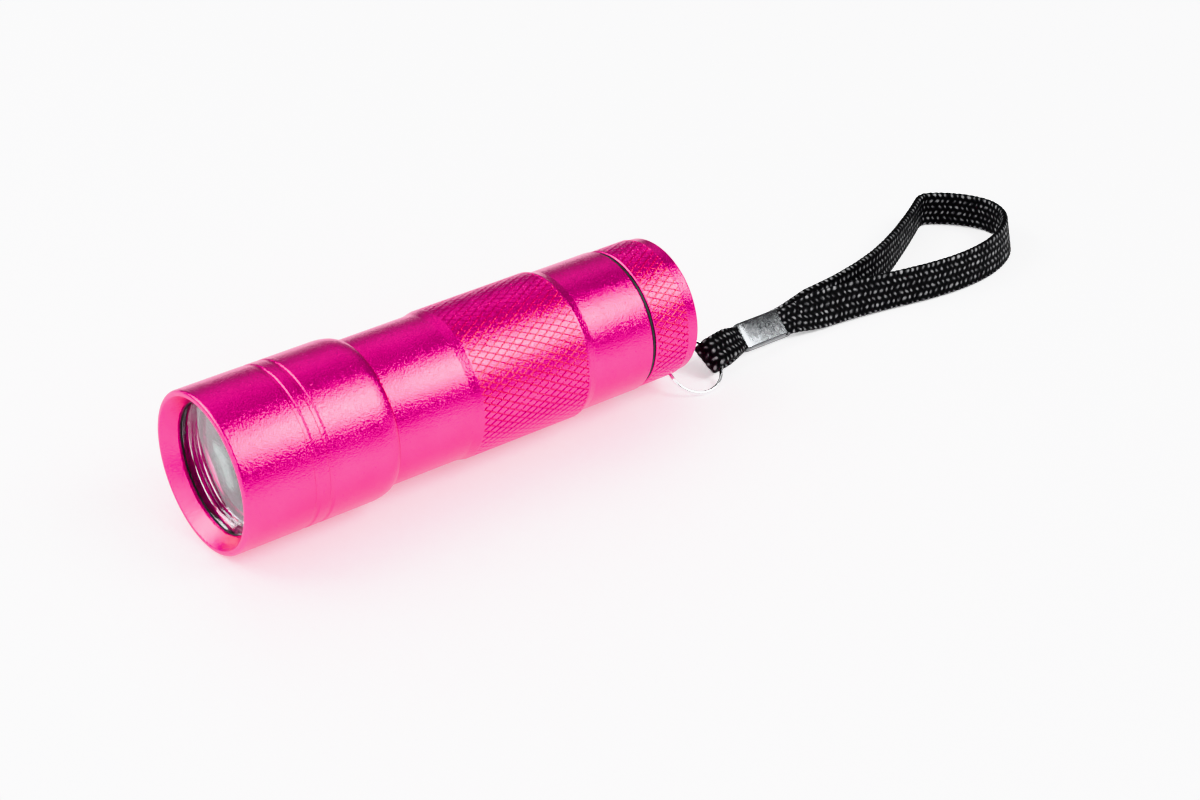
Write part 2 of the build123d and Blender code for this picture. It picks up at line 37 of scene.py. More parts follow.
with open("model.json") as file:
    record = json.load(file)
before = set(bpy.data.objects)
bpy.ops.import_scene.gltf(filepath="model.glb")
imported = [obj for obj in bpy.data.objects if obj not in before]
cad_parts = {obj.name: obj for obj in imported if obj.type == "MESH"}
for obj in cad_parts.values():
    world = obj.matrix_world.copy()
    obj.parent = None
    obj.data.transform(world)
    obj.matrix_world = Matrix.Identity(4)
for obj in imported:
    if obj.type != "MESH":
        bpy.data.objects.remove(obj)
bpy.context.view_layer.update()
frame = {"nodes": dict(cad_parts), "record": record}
MM = 0.001
ALONG = Vector((1.0, 0.0, 0.0))
HEAD_LOW, HEAD_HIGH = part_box("head_shell")
FRONT_X = HEAD_LOW.x
AXIS_Z = (HEAD_LOW.z + HEAD_HIGH.z) / 2


def in_mm(value):
    return value / MM


def node_span(node):
    """Start and end of a CAD node along the lamp, and its radius, in millimetres."""
    low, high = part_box(node)
    return in_mm(low.x - FRONT_X), in_mm(high.x - FRONT_X), in_mm(high.y - low.y) / 2


HEAD_END, HEAD_R = node_span("head_shell")[1:]
TUBE_START, TUBE_END, GRIP_R = node_span("body_tube")
CAP_START, LENGTH, CAP_R = node_span("tail_cap")
LENS_START, LENS_END, LENS_R = node_span("lens")
GASKET_START, _, OPTICS_R = node_span("lens_gasket")


# ---- camera ----
def make_camera():
    data = bpy.data.cameras.new("camera")
    data.lens = 84.7
    data.sensor_width = 36.0
    data.clip_start = 0.01
    camera = bpy.data.objects.new("camera", data)
    right = Vector((0.7973, -0.6037, 0.0))
    up = Vector((0.3123, 0.4125, 0.8557))
    back = Vector((-0.5166, -0.6823, 0.5173))
    turn = Matrix((right, up, back)).transposed().to_4x4()
    camera.matrix_world = Matrix.Translation((-0.22273, -0.33846, 0.25545)) @ turn
    bpy.context.scene.collection.objects.link(camera)
    bpy.context.scene.camera = camera


make_camera()


# ---- finishes ----
class Signal:
    """A number or colour on its way through a finish, written in ordinary arithmetic."""

    def __init__(self, finish, socket):
        self.finish, self.socket = finish, socket

    def sum_of(self, operation, first, second):
        return self.finish.node("ShaderNodeMath", {"operation": operation}, {0: first, 1: second})

    def __add__(self, other):
        return self.sum_of("ADD", self, other)

    def __sub__(self, other):
        return self.sum_of("SUBTRACT", self, other)

    def __rsub__(self, other):
        return self.sum_of("SUBTRACT", other, self)

    def __mul__(self, other):
        return self.sum_of("MULTIPLY", self, other)

    def __pow__(self, other):
        return self.sum_of("POWER", self, other)

    __radd__ = __add__
    __rmul__ = __mul__


class Finish:
    """A material, with its fixed values set on the shader itself."""

    def __init__(self, name, **fixed):
        self.material = bpy.data.materials.new(name)
        self.material.use_nodes = True
        self.tree = self.material.node_tree
        self.shader = self.tree.nodes["Principled BSDF"]
        for socket, value in fixed.items():
            self.shader.inputs[socket.replace("_", " ")].default_value = value

    def node(self, kind, settings=None, inputs=None, output=0):
        made = self.tree.nodes.new(kind)
        for key, value in (settings or {}).items():
            if key == "stops":
                self.set_stops(made.color_ramp, value)
            else:
                setattr(made, key, value)
        for key, value in (inputs or {}).items():
            self.feed(made.inputs[key], value)
        return Signal(self, made.outputs[output])

    def set_stops(self, ramp, stops):
        while len(ramp.elements) < len(stops):
            ramp.elements.new(0.5)
        for element, (position, colour) in zip(ramp.elements, stops):
            element.position, element.color = position, (*colour, 1.0)

    def feed(self, socket, value):
        if isinstance(value, Signal):
            self.tree.links.new(value.socket, socket)
        else:
            socket.default_value = value

    def paint(self, **inputs):
        for socket, value in inputs.items():
            self.feed(self.shader.inputs[socket.replace("_", " ")], value)
        return self

    def place(self):
        return self.node("ShaderNodeTexCoord", output="Object")

    def noise(self, scale, detail=2.0, roughness=0.5, stretch=None):
        place = self.place()
        if stretch:
            place = self.node("ShaderNodeMapping", inputs={"Vector": place, "Scale": stretch})
        return self.node("ShaderNodeTexNoise", inputs={
            "Vector": place, "Scale": scale, "Detail": detail, "Roughness": roughness})

    def ramp(self, factor, *stops):
        return self.node("ShaderNodeValToRGB", {"stops": stops}, {"Fac": factor})

    def bump(self, height, depth):
        return self.node("ShaderNodeBump", inputs={"Height": height, "Distance": depth, "Strength": 1.0})


def anodised_aluminium():
    """Bead-blasted before it was anodised, so highlights break up into grain."""
    finish = Finish("anodised_aluminium", Metallic=1.0, Coat_Roughness=0.3)
    grain = finish.noise(2900, 2.0, 0.65)
    specks = finish.noise(6500, 1.0, 0.5)
    cloud = finish.noise(160, 2.0)
    tone = finish.ramp(cloud, (0.3, (0.80, 0.008, 0.262)), (0.7, (0.86, 0.011, 0.292)))
    return finish.paint(
        Base_Color=tone, Roughness=0.22 + 0.08 * grain, Coat_Weight=0.04 + 0.30 * specks ** 2.0,
        Normal=finish.bump(grain + 0.5 * specks, 0.00007)).material


def polished_wire():
    finish = Finish("polished_wire", Base_Color=(0.78, 0.78, 0.79, 1), Metallic=1.0)
    dents = finish.noise(900, 2.0)
    return finish.paint(Roughness=0.05 + 0.10 * dents, Normal=finish.bump(dents, 0.00002)).material


def rolled_sheet():
    """Sheet steel with the fine lines of rolling across the clip."""
    finish = Finish("rolled_sheet", Metallic=1.0)
    lines = finish.noise(900, 4.0, 0.65, stretch=(6.0, 1.0, 1.0))
    patches = finish.noise(420, 3.0)
    tone = finish.ramp(patches, (0.25, (0.145, 0.15, 0.155)), (0.75, (0.21, 0.215, 0.22)))
    return finish.paint(
        Base_Color=tone, Roughness=0.14 + 0.09 * lines, Normal=finish.bump(lines, 0.00003)).material


def turned_metal(name, colour, roughness=0.25):
    """Plain turned metal, with fine rings from the lathe."""
    finish = Finish(name, Base_Color=(*colour, 1), Metallic=1.0)
    rings = finish.noise(1.0, 3.0, 0.6, stretch=(9000.0, 300.0, 300.0))
    return finish.paint(Roughness=roughness + 0.15 * rings, Normal=finish.bump(rings, 0.000008)).material


def plated_wire(name, colour):
    finish = Finish(name, Base_Color=(*colour, 1), Metallic=1.0)
    streaks = finish.noise(2500, 3.0, 0.6)
    return finish.paint(Roughness=0.18 + 0.22 * streaks, Normal=finish.bump(streaks, 0.00001)).material


def silvered_plastic():
    finish = Finish("silvered_plastic", Metallic=1.0)
    ripple = finish.noise(420, 3.0, 0.55)
    haze = finish.noise(2600, 2.0)
    tone = finish.ramp(ripple, (0.3, (0.80, 0.80, 0.775)), (0.7, (0.95, 0.95, 0.93)))
    return finish.paint(
        Base_Color=tone, Roughness=0.26 + 0.20 * haze, Normal=finish.bump(ripple, 0.00025)).material


def clear_plate(name, tint, body, gloss):
    """A clear piece thin enough to see straight through, with its gloss strongest at a slant."""
    finish = Finish(name, Base_Color=(*tint, 1), Metallic=1.0)
    slant = finish.node("ShaderNodeFresnel", inputs={"IOR": 1.49})
    smear = finish.noise(260, 3.0)
    return finish.paint(Roughness=gloss + 0.05 * smear, Alpha=body + 0.9 * slant).material


def clear_epoxy():
    finish = Finish("clear_epoxy", Base_Color=(0.93, 0.95, 1.0, 1), Transmission_Weight=1.0, IOR=1.5)
    swirl = finish.noise(500, 2.0)
    return finish.paint(Roughness=0.02 + 0.05 * swirl, Normal=finish.bump(swirl, 0.00001)).material


def black_rubber():
    finish = Finish("black_rubber", Specular_IOR_Level=0.4)
    skin = finish.noise(7000, 3.0, 0.6)
    dust = finish.noise(700, 3.0)
    tone = finish.ramp(dust, (0.3, (0.013, 0.013, 0.014)), (0.75, (0.028, 0.028, 0.030)))
    return finish.paint(
        Base_Color=tone, Roughness=0.48 + 0.2 * skin, Normal=finish.bump(skin, 0.00002)).material


def moulded_plastic(name, dark, light, roughness=0.42):
    finish = Finish(name)
    skin = finish.noise(3800, 3.0, 0.6)
    patches = finish.noise(240, 2.0)
    tone = finish.ramp(patches, (0.3, dark), (0.7, light))
    return finish.paint(
        Base_Color=tone, Roughness=roughness + 0.15 * skin, Normal=finish.bump(skin, 0.000015)).material


def cell_jacket():
    """A printed sleeve: dark along most of the cell, with one plain coloured band."""
    finish = Finish("cell_jacket", Coat_Weight=0.6, Coat_Roughness=0.12)
    low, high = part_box("cell_1")
    along = finish.node("ShaderNodeSeparateXYZ", inputs={0: finish.place()}, output="X")
    share = (along - low.x) * (1 / (high.x - low.x))
    band, sleeve = (0.55, 0.40, 0.16), (0.02, 0.022, 0.03)
    tone = finish.ramp(share, (0.0, band), (0.30, band), (0.31, sleeve), (1.0, sleeve))
    wrinkle = finish.noise(300, 2.0)
    return finish.paint(
        Base_Color=tone, Roughness=0.25 + 0.1 * wrinkle, Normal=finish.bump(wrinkle, 0.00003)).material


def braided_polyester():
    """Black filament yarn, with a painted highlight on the crown of most floats: a light grey glint
    in its colour. Each vertex knows how far across its yarn it lies, and how near the crown."""
    finish = Finish("braided_polyester", Specular_IOR_Level=0.16)
    across = finish.node("ShaderNodeAttribute", {"attribute_name": "across_yarn"}, output="Fac")
    crown = finish.node("ShaderNodeAttribute", {"attribute_name": "crown"}, output="Fac")
    filaments = finish.node(
        "ShaderNodeTexNoise", {"noise_dimensions": "1D"}, {"W": across * 9.0, "Scale": 1.0, "Detail": 2.0})
    fuzz = finish.noise(5200, 3.0, 0.65)
    patches = finish.noise(900, 2.0, 0.7)
    # Painted highlight: the crowns of the floats are painted light grey in the base colour, standing in for
    # the glints of glossy yarn.
    painted_glint = crown ** 2.5 * (0.22 + 0.95 * patches + 0.34 * fuzz + 0.12 * filaments)
    tone = finish.ramp(painted_glint, (0.0, (0.0010, 0.0010, 0.0012)), (0.50, (0.003, 0.003, 0.0033)),
                       (0.72, (0.040, 0.040, 0.042)), (1.0, (0.26, 0.26, 0.265)))
    return finish.paint(Base_Color=tone, Roughness=0.66 - 0.22 * crown + 0.10 * fuzz,
                        Normal=finish.bump(0.7 * filaments + fuzz, 0.00006)).material


FINISHES = {
    "anodised_aluminium": anodised_aluminium(),
    "clear_acrylic": clear_plate("clear_acrylic", (0.95, 0.97, 0.97), 0.02, 0.01),
    "black_rubber": black_rubber(),
    "silvered_plastic": silvered_plastic(),
    "clear_epoxy": clear_epoxy(),
    "tinned_wire": plated_wire("tinned_wire", (0.70, 0.70, 0.70)),
    "circuit_board": moulded_plastic("circuit_board", (0.02, 0.16, 0.07), (0.03, 0.21, 0.09), 0.3),
    "machined_aluminium": turned_metal("machined_aluminium", (0.76, 0.76, 0.77)),
    "contact_brass": turned_metal("contact_brass", (0.75, 0.58, 0.28), 0.2),
    "black_plastic": moulded_plastic("black_plastic", (0.016, 0.016, 0.017), (0.028, 0.028, 0.030)),
    "cell_jacket": cell_jacket(),
    "spring_steel": plated_wire("spring_steel", (0.64, 0.64, 0.65)),
    "polished_steel": polished_wire(),
    "rolled_steel": rolled_sheet(),
    "black_webbing": braided_polyester(),
}


def finish_cad_nodes():
    """Pieces whose CAD shape is right keep it, and take their finish by slot."""
    for sub in frame["record"]["subparts"]:
        piece = frame["nodes"].get(sub["node"])
        if piece:
            piece.data.materials.clear()
            piece.data.materials.append(FINISHES[sub["material_slot"]])


finish_cad_nodes()


# ---- making pieces ----
def make_piece(name, points, faces, slot, body, *stands_for, sharp=30.0):
    """A mesh from points in metres, smooth but for its sharp corners."""
    mesh = bpy.data.meshes.new(name)
    mesh.from_pydata([tuple(p) for p in points], [], [tuple(f) for f in faces])
    mesh.validate()
    tidy_normals(mesh)
    mesh.polygons.foreach_set("use_smooth", [True] * len(mesh.polygons))
    mesh.set_sharp_from_angle(angle=radians(sharp))
    mesh.materials.append(FINISHES[slot])
    piece = bpy.data.objects.new(name, mesh)
    bpy.context.scene.collection.objects.link(piece)
    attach(piece, body)
    if stands_for:
        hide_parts(*stands_for)
    return piece


def tidy_normals(mesh):
    shell = bmesh.new()
    shell.from_mesh(mesh)
    bmesh.ops.recalc_face_normals(shell, faces=shell.faces)
    shell.to_mesh(mesh)
    shell.free()


def eased(outline, radius=0.1, steps=3, closed=False):
    """An outline with its corners rounded a little, as real edges are."""
    points = [np.array(p, float) for p in outline]
    rounded = []
    for i, here in enumerate(points):
        if not closed and i in (0, len(points) - 1):
            rounded.append(tuple(here))
            continue
        before, after = points[i - 1], points[(i + 1) % len(points)]
        back, ahead = before - here, after - here
        reach = min(radius, 0.4 * np.linalg.norm(back), 0.4 * np.linalg.norm(ahead))
        start, end = here + back / np.linalg.norm(back) * reach, here + ahead / np.linalg.norm(ahead) * reach
        for k in range(steps + 1):
            t = k / steps
            rounded.append(tuple(start * (1 - t) ** 2 + here * 2 * t * (1 - t) + end * t ** 2))
    return rounded


def arc(centre, radius, start, end, steps=8):
    """Points on an arc: the angle is from +s towards +r, in degrees."""
    angles = [radians(start + (end - start) * i / steps) for i in range(steps + 1)]
    return [(centre[0] + radius * cos(a), centre[1] + radius * sin(a)) for a in angles]


def turned_mesh(outline, segments, relief=None, closed=True, centre=(0.0, 0.0)):
    """Points and faces of a turned piece. A point on the axis closes the piece there.
    relief maps a station's number and its place along the piece to how far each point round it
    moves out, in millimetres, or to None."""
    points, rings = [], []
    for station, (s, r) in enumerate(outline):
        if r < 1e-6:
            rings.append([len(points)] * segments)
            points.append((s, 0.0, 0.0))
            continue
        rings.append(list(range(len(points), len(points) + segments)))
        move = relief(station, s) if relief else None
        for j in range(segments):
            a = 2 * pi * j / segments
            out = r + (move[j] if move is not None else 0.0)
            points.append((s, out * cos(a), out * sin(a)))
    pairs = list(zip(rings, rings[1:])) + ([(rings[-1], rings[0])] if closed else [])
    faces = []
    for near, far in pairs:
        for j in range(segments):
            k = (j + 1) % segments
            corners = [near[j], near[k], far[k], far[j]]
            unique = list(dict.fromkeys(corners))
            if len(unique) > 2:
                faces.append(unique)
    y, z = centre
    return [to_row(s, py + y, pz + z) for s, py, pz in points], faces


def to_row(s, y, z):
    return (FRONT_X + s * MM, y * MM, AXIS_Z + z * MM)


def swept_faces(rings, count):
    """Faces between rings of count points each, one ring after another."""
    return [(k * count + j, k * count + (j + 1) % count,
             (k + 1) * count + (j + 1) % count, (k + 1) * count + j)
            for k in range(rings - 1) for j in range(count)]


def end_faces(rings, count):
    """Flat faces that close the first and last of such rings."""
    return [tuple(range(count))[::-1], tuple(range((rings - 1) * count, rings * count))]


# Knurl: grooves cross at about 29 degrees to the axis, STEPS grid steps from one to the next.
STEPS = 8
KNURL_PITCH = 2.41           # from one crossing to the next, along the lamp
ROW = KNURL_PITCH / STEPS
KNURL_DEPTH = 0.17
THREAD_PITCH = 1.0


def knurl_rows(start, end):
    """Stations of a knurled stretch: whole rows from its start."""
    count = int((end - start) / ROW)
    return [start + i * ROW for i in range(count + 1)]


def knurl_depth(row, segments):
    j = np.arange(segments)
    groove = ((j + row) % STEPS == 0) | ((j - row) % STEPS == 0)
    return np.where(groove, -KNURL_DEPTH, 0.0)


def split_knurl(faces, rows, segments):
    """Each four-sided face between knurl rows is cut along the groove that it lies beside."""
    done = []
    for (row, j), face in zip(((r, j) for r in range(rows) for j in range(segments)), faces):
        along_a, along_b = (j + row + 1) % STEPS, (j - row) % STEPS
        to_a, to_b = min(along_a, STEPS - along_a), min(along_b, STEPS - along_b)
        a, b, c, d = face
        done += [(a, b, d), (b, c, d)] if to_a <= to_b else [(a, b, c), (a, c, d)]
    return done


def thread_height(s, segments):
    """A right-handed 1 mm thread's crest above its root, round one station."""
    turn = (s / THREAD_PITCH - np.arange(segments) / segments) % 1.0
    return np.clip(1.6 - 5.0 * np.abs(turn - 0.5), 0.0, 1.0)


def ridged_piece(name, outline, segments, knurl, thread, slot, body, node):
    """A turned piece with a knurled stretch and a threaded one, each given as a range of stations."""
    knurl_first, knurl_last = knurl
    thread_first, thread_last = thread

    def relief(station, s):
        if knurl_first <= station <= knurl_last:
            return knurl_depth(station - knurl_first, segments)
        if thread_first <= station <= thread_last:
            return THREAD_HEIGHT * thread_height(s, segments)
        return None

    points, faces = turned_mesh(outline, segments, relief)
    first, last = knurl_first * segments, knurl_last * segments
    cut = split_knurl(faces[first:last], knurl_last - knurl_first, segments)
    return make_piece(name, points, faces[:first] + cut + faces[last:], slot, body, node, sharp=24.0)


def joined(*meshes):
    """Several (points, faces) as one."""
    points, faces = [], []
    for more_points, more_faces in meshes:
        start = len(points)
        points += list(more_points)
        faces += [tuple(i + start for i in face) for face in more_faces]
    return points, faces


def cut_away(piece, tool):
    """Cuts the tool piece's shape out of a piece and removes the tool."""
    cut = piece.modifiers.new("cut", "BOOLEAN")
    cut.operation, cut.object, cut.solver = "DIFFERENCE", tool, "EXACT"
    bpy.context.view_layer.update()
    seen = piece.evaluated_get(bpy.context.evaluated_depsgraph_get())
    mesh = bpy.data.meshes.new_from_object(seen)
    piece.modifiers.clear()
    piece.data = mesh
    mesh.set_sharp_from_angle(angle=radians(24.0))
    bpy.data.objects.remove(tool)


# ---- lanyard: wrist strap ----
# The strap's middle line, from the clip out along the near side, round, and back to the clip.
STRAP_ROUTE = [
    (0.0710, -0.00410, 0.0032), (0.0802, -0.00480, 0.0034), (0.0889, -0.00605, 0.0035),
    (0.0971, -0.00785, 0.0035), (0.1052, -0.00945, 0.0035), (0.1130, -0.00990, 0.0035),
    (0.1198, -0.00895, 0.0035), (0.1259, -0.00620, 0.0035), (0.1299, -0.00180, 0.0035),
    (0.1306, 0.00360, 0.0035), (0.1281, 0.00820, 0.0035), (0.1253, 0.01110, 0.0035),
    (0.1222, 0.01325, 0.0035), (0.1203, 0.01270, 0.0035), (0.1182, 0.01130, 0.0035),
    (0.1130, 0.00810, 0.0035), (0.1060, 0.00410, 0.0035), (0.0991, 0.00080, 0.0035),
    (0.0908, -0.00160, 0.0034), (0.0820, -0.00275, 0.0031), (0.0710, -0.00255, 0.0025),
]
STRAP_WIDTH = 6.8
STRAP_T = 1.1
GRIPPED_WIDTH, GRIPPED_T = 5.0, 0.56     # one layer of webbing squeezed in the clip
WEB_STEP = 0.17              # distance between the webbing's mesh points
BRAID_PITCH = 1.15           # from one crossing of two yarns to the next
BRAID_HEIGHT = 0.26


def route_line(name, route):
    """Points in metres along the smooth line that a route's points control."""
    curve = bpy.data.curves.new(name, "CURVE")
    curve.dimensions = "3D"
    spline = curve.splines.new("NURBS")
    spline.points.add(len(route) - 1)
    for point, place in zip(spline.points, route):
        point.co = (*place, 1.0)
    spline.order_u = 3
    spline.use_endpoint_u = True
    spline.resolution_u = 32
    holder = bpy.data.objects.new(name, curve)
    bpy.context.scene.collection.objects.link(holder)
    bpy.context.view_layer.update()
    mesh = bpy.data.meshes.new_from_object(holder)
    line = np.array([v.co for v in mesh.vertices], float)
    bpy.data.objects.remove(holder)
    return line


def reach_along(line):
    """How far each point lies from the line's start, measured along it."""
    return np.concatenate([[0.0], np.cumsum(np.linalg.norm(np.diff(line, axis=0), axis=1))])


def evenly(line, step):
    """The same line with its points a step apart, and how far along it each one lies."""
    reach = reach_along(line)
    count = max(2, int(round(reach[-1] / step)))
    at = np.linspace(0.0, reach[-1], count + 1)
    return np.stack([np.interp(at, reach, line[:, k]) for k in range(3)], 1), at


def unit(vectors):
    return vectors / np.linalg.norm(vectors, axis=-1, keepdims=True)


def braid(u, q, around, seed):
    """Height of a braid whose yarns pass over two and under two, how far across its yarn a
    point lies, and how near its crown."""
    wander = 0.10 * np.sin(u * 1.7 + q * 0.9 + seed) + 0.07 * np.sin(u * 4.3 - q * 2.1 + 2 * seed)
    turns = q / around * 2 * round(around / BRAID_PITCH / 2)
    first, second = u / BRAID_PITCH + turns + wander, u / BRAID_PITCH - turns + wander
    i, j = np.floor(first), np.floor(second)
    f, g = first - i - 0.5, second - j - 0.5
    one = 0.55 * np.sqrt(np.clip(1 - (1.9 * f) ** 2, 0, 1)) + 0.45 * np.sin(pi / 2 * (second - i))
    two = 0.55 * np.sqrt(np.clip(1 - (1.9 * g) ** 2, 0, 1)) - 0.45 * np.sin(pi / 2 * (j + 1 - first))
    height = np.maximum(np.maximum(one, two), 0.0)
    across = np.where(one > two, f, g) + 3.0 * np.where(one > two, i, j + 0.5)
    return height, across, height


def web_section(width, thick, count):
    """Places round a flat section with round edges: across, out, the two parts of its
    outward direction, and the distance round."""
    flat, edge = width - thick, pi * thick / 2
    total = 2 * (flat + edge)
    q = np.arange(count) / count * total
    across, out, na, no = np.zeros(count), np.zeros(count), np.zeros(count), np.zeros(count)
    for k, d in enumerate(q):
        if d < flat:
            across[k], out[k], no[k] = -flat / 2 + d, thick / 2, 1.0
        elif d < flat + edge:
            a = (d - flat) / edge * pi
            across[k], out[k] = flat / 2 + thick / 2 * sin(a), thick / 2 * cos(a)
            na[k], no[k] = sin(a), cos(a)
        elif d < 2 * flat + edge:
            across[k], out[k], no[k] = flat / 2 - (d - flat - edge), -thick / 2, -1.0
        else:
            a = (d - 2 * flat - edge) / edge * pi
            across[k], out[k] = -flat / 2 - thick / 2 * sin(a), -thick / 2 * cos(a)
            na[k], no[k] = -sin(a), -cos(a)
    return across, out, na, no, q, total


def webbing(name, line, widthways, widths, thicks, seed, *stands_for):
    """A length of flat braid along a line in metres, with its width lying widthways. Its yarns
    lie flatter where it is gripped thin."""
    stations = len(line)
    thick = max(thicks)
    tangent = unit(np.gradient(line, axis=0))
    widthways = unit(widthways - tangent * (widthways * tangent).sum(1, keepdims=True))
    outward = np.cross(tangent, widthways)
    count = 2 * int(round((max(widths) - thick + pi * thick / 2) / WEB_STEP))
    reach = reach_along(line) / MM
    points, crossing, crowns = [], [], []
    for k in range(stations):
        across, out, na, no, q, total = web_section(widths[k], thicks[k], count)
        height, yarn, crown = braid(np.full(count, reach[k]), q, total, seed)
        lift = BRAID_HEIGHT * (height - 0.6) * (thicks[k] / thick) ** 2
        sideways, outwards = np.outer(across + na * lift, widthways[k]), np.outer(out + no * lift, outward[k])
        points.append(line[k] + MM * (sideways + outwards))
        crossing.append(yarn)
        crowns.append(crown)
    points = np.concatenate(points)
    faces = swept_faces(stations, count) + end_faces(stations, count)
    piece = make_piece(name, points, faces, "black_webbing", "lanyard", *stands_for, sharp=80.0)
    for label, values in (("across_yarn", crossing), ("crown", crowns)):
        layer = piece.data.attributes.new(label, "FLOAT", "POINT")
        layer.data.foreach_set("value", np.concatenate(values).astype(np.float32))
    return piece


CLIP_ALONG = np.array([0.994, 0.087, -0.070])
CLIP_WIDTHWAYS = np.array([-0.022, 0.767, 0.641])
CLIP_OUT = np.cross(CLIP_ALONG, CLIP_WIDTHWAYS)
RING_TILT = radians(36.0)
RING_ACROSS = np.array([0.0, cos(RING_TILT), sin(RING_TILT)])


def smooth(t):
    t = np.clip(t, 0.0, 1.0)
    return t * t * (3 - 2 * t)


def wrist_strap():
    """The strap stands on its edge, and rolls over towards the clip that holds both its ends."""
    line, reach = evenly(route_line("strap_route", STRAP_ROUTE), WEB_STEP * MM)
    reach = reach / MM
    total = reach[-1]
    marks = [0.0, 3.0, 11.0, 24.0, 44.0, 56.0, 66.0]
    marks += [total - 48.0, total - 38.0, total - 26.0, total - 12.0, total - 3.0, total]
    leans = [50.0, 50.0, 32.0, 17.0, 15.0, 12.0, 2.0, 0.0, -4.0, -16.0, -34.0, -50.0, -50.0]
    lean = np.radians(np.interp(reach, marks, leans))
    tangent = unit(np.gradient(line, axis=0))
    side = unit(np.cross([0.0, 0.0, 1.0], tangent))
    widthways = side * np.sin(lean)[:, None] + np.array([0.0, 0.0, 1.0]) * np.cos(lean)[:, None]
    spread = smooth(np.minimum(reach, total - reach) / 9.0 - 0.1)
    widths = GRIPPED_WIDTH + (STRAP_WIDTH - GRIPPED_WIDTH) * spread
    floor = MM * (widths / 2 * np.cos(lean) + STRAP_T / 2 * np.abs(np.sin(lean)) + 0.12)
    line[:, 2] = np.maximum(line[:, 2], floor)
    thicks = GRIPPED_T + (STRAP_T - GRIPPED_T) * smooth(np.minimum(reach, total - reach) / 3.0)
    piece = webbing("wrist_strap_webbing", line, widthways, widths, thicks, 1.3, "wrist_strap")
    return piece, line, total * MM


STRAP, STRAP_LINE, STRAP_LENGTH = wrist_strap()


# ---- lanyard: tab, clip and ring ----
def strap_tab():
    """Webbing that leaves the clip, goes round the ring and comes back into the clip."""
    low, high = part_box("crimp_clip")
    clip_middle = np.array((low + high) / 2)
    ring_middle = np.array(sum(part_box("lanyard_ring"), Vector())) / 2
    mouth = clip_middle - CLIP_ALONG * 5.0 * MM
    to_clip = mouth - ring_middle
    in_ring = unit(np.array([to_clip[0], 0.0, 0.0]) + RING_ACROSS * (to_clip @ RING_ACROSS))
    fold = ring_middle + in_ring * 4.75 * MM
    wire = np.cross(np.cross([1.0, 0.0, 0.0], RING_ACROSS), in_ring)
    along = unit(mouth - fold)
    out = unit(np.cross(along, wire))
    length = np.linalg.norm(mouth - fold) / MM
    loop, gap = 1.52, 0.31
    path = [(length + 2.0, gap), (length + 0.2, gap), (length * 0.72, 1.0), (length * 0.36, loop + 0.12)]
    path += arc((0.0, 0.0), loop, 78, 282, 12)
    path += [(length * 0.36, -loop - 0.12), (length * 0.72, -1.0), (length + 0.2, -gap), (length + 2.0, -gap)]
    rough = np.array([fold + along * x * MM + out * z * MM for x, z in path])
    line, reach = evenly(route_line("tab_route", rough), WEB_STEP * MM)
    from_fold = np.clip(((line - fold) @ along) / MM / length, 0.0, 1.0)[:, None]
    ways = wire * (1 - smooth(from_fold)) + CLIP_WIDTHWAYS * smooth(from_fold)
    near_clip = smooth(from_fold[:, 0] * 1.6 - 0.6)
    widths = 5.7 - 1.1 * near_clip
    thicks = 1.0 + (GRIPPED_T - 1.0) * near_clip
    return webbing("folded_tab", line, ways, widths, thicks, 4.1, "strap_tab")


def clip_section(width, thick, sheet, radius):
    """Sheet wrapped once round the webbing, with the seam left open along one side."""
    w, t = width / 2, thick / 2
    seam = 0.06
    outer = [(-w, seam)]
    for side, face, start in ((-1, 1, 180), (1, 1, 90), (1, -1, 0), (-1, -1, -90)):
        outer += arc((side * (w - radius), face * (t - radius)), radius, start, start - 90, 5)
    outer += [(-w, -seam - 0.18)]
    inner = []
    for x, y in outer:
        scale_x, scale_y = (w - sheet) / w, (t - sheet) / t
        inner.append((x * scale_x, y * scale_y if abs(y) > seam + 0.2 else y))
    return outer, inner


def crimp_clip():
    """The clip, pinched towards the ring. Its stations are (along, share of width, share of
    thickness), and its edges at both ends are closed between the sheet's two faces."""
    low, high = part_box("crimp_clip")
    middle = np.array((low + high) / 2)
    outer, inner = clip_section(5.4, 2.1, 0.38, 0.5)
    section = outer + inner[::-1]
    count = len(section)
    stations = [(-5.7, 0.86, 0.62), (-5.62, 0.92, 0.70), (-5.35, 0.97, 0.82), (-4.9, 1.0, 0.95),
                (-4.3, 1.0, 1.0), (0.0, 1.0, 0.99), (4.9, 1.0, 1.0), (5.5, 1.0, 0.99),
                (5.66, 0.985, 0.97), (5.7, 0.97, 0.94)]
    points = []
    for along, wide, thick in stations:
        for x, y in section:
            place = CLIP_ALONG * along + CLIP_WIDTHWAYS * x * wide + CLIP_OUT * y * thick
            points.append(middle + MM * place)
    faces = swept_faces(len(stations), count)
    half = len(outer)
    for start in (0, (len(stations) - 1) * count):
        for j in range(half - 1):
            faces.append((start + j, start + j + 1, start + count - 2 - j, start + count - 1 - j))
    return make_piece("folded_clip", points, faces, "rolled_steel", "lanyard", "crimp_clip")


def lanyard_ring():
    """A ring bent from wire, its ends butted together."""
    low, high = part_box("lanyard_ring")
    middle = np.array((low + high) / 2)
    normal = np.cross([1.0, 0.0, 0.0], RING_ACROSS)
    wire = 0.35
    radius = in_mm(high.x - low.x) / 2 - wire
    turns, sides, gap = 192, 20, radians(0.7)
    points = []
    for i in range(turns + 1):
        a = radians(128) + gap + (2 * pi - 2 * gap) * i / turns
        out = np.array([cos(a), 0.0, 0.0]) + RING_ACROSS * sin(a)
        thin = wire * (0.9 if i in (0, turns) else 1.0)
        for k in range(sides):
            b = 2 * pi * k / sides
            points.append(middle + MM * (out * (radius + thin * cos(b)) + normal * thin * sin(b)))
    faces = swept_faces(turns + 1, sides) + end_faces(turns + 1, sides)
    return make_piece("split_ring", points, faces, "polished_steel", "ring", "lanyard_ring", sharp=50.0)


